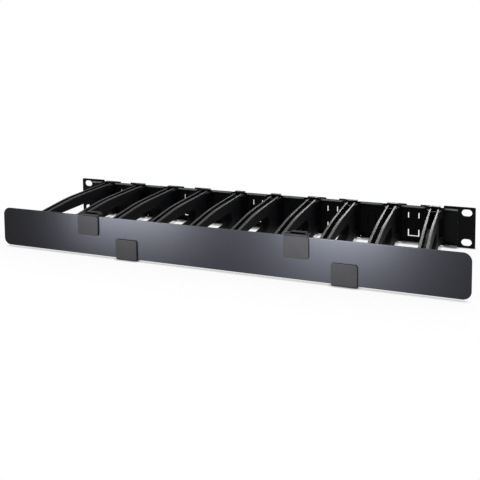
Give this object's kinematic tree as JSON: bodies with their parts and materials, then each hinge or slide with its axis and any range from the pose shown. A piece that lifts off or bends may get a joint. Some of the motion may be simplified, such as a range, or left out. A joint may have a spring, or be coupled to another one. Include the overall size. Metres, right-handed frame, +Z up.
{
  "type": "horizontal cable manager",
  "caption": "Rack-width panel with D-ring fingers that guide patch cables, and a flat front cover that swings down or up on pins held in its clips.",
  "frame": {"origin": "centre of the rack hole pattern on the back face of the ears, which lands on the rack rails", "axes": "+X along the rack from left to right seen from the front, +Y into the rack, +Z up"},
  "size_m": [0.4826, 0.1525, 0.0436],
  "materials": {
    "powder_coated_steel": "fine textured black powder coat",
    "satin_cover_coat": "satin black powder coat",
    "moulded_plastic": "moulded black polycarbonate blend, semi-matt",
    "clip_plastic": "moulded black plastic, fine matt grain",
    "steel_pin": "bright drawn steel"
  },
  "bodies": {
    "rack_frame": {"back_channel": "powder_coated_steel", "ear_left": "powder_coated_steel", "ear_right": "powder_coated_steel", "finger_01": "moulded_plastic", "finger_02": "moulded_plastic", "finger_03": "moulded_plastic", "finger_04": "moulded_plastic", "finger_05": "moulded_plastic", "finger_06": "moulded_plastic", "finger_07": "moulded_plastic", "finger_08": "moulded_plastic", "finger_09": "moulded_plastic", "finger_10": "moulded_plastic"},
    "top_pins": {"hinge_pin_top_left": "steel_pin", "hinge_pin_top_right": "steel_pin"},
    "cover": {"front_cover": "satin_cover_coat", "cover_clip_top_left": "clip_plastic", "cover_clip_top_right": "clip_plastic", "cover_clip_bottom_left": "clip_plastic", "cover_clip_bottom_right": "clip_plastic", "hinge_pin_bottom_left": "steel_pin", "hinge_pin_bottom_right": "steel_pin"}
  },
  "joints": [
    {"name": "cover_swings_down", "type": "hinge", "parent": "rack_frame", "child": "top_pins", "pos_m": [0, -0.1415, -0.013], "axis": [1, 0, 0], "range_deg": [0, 100]},
    {"name": "cover_swings_up", "type": "hinge", "parent": "top_pins", "child": "cover", "pos_m": [0, -0.1415, 0.013], "axis": [-1, 0, 0], "range_deg": [0, 100]}
  ]
}
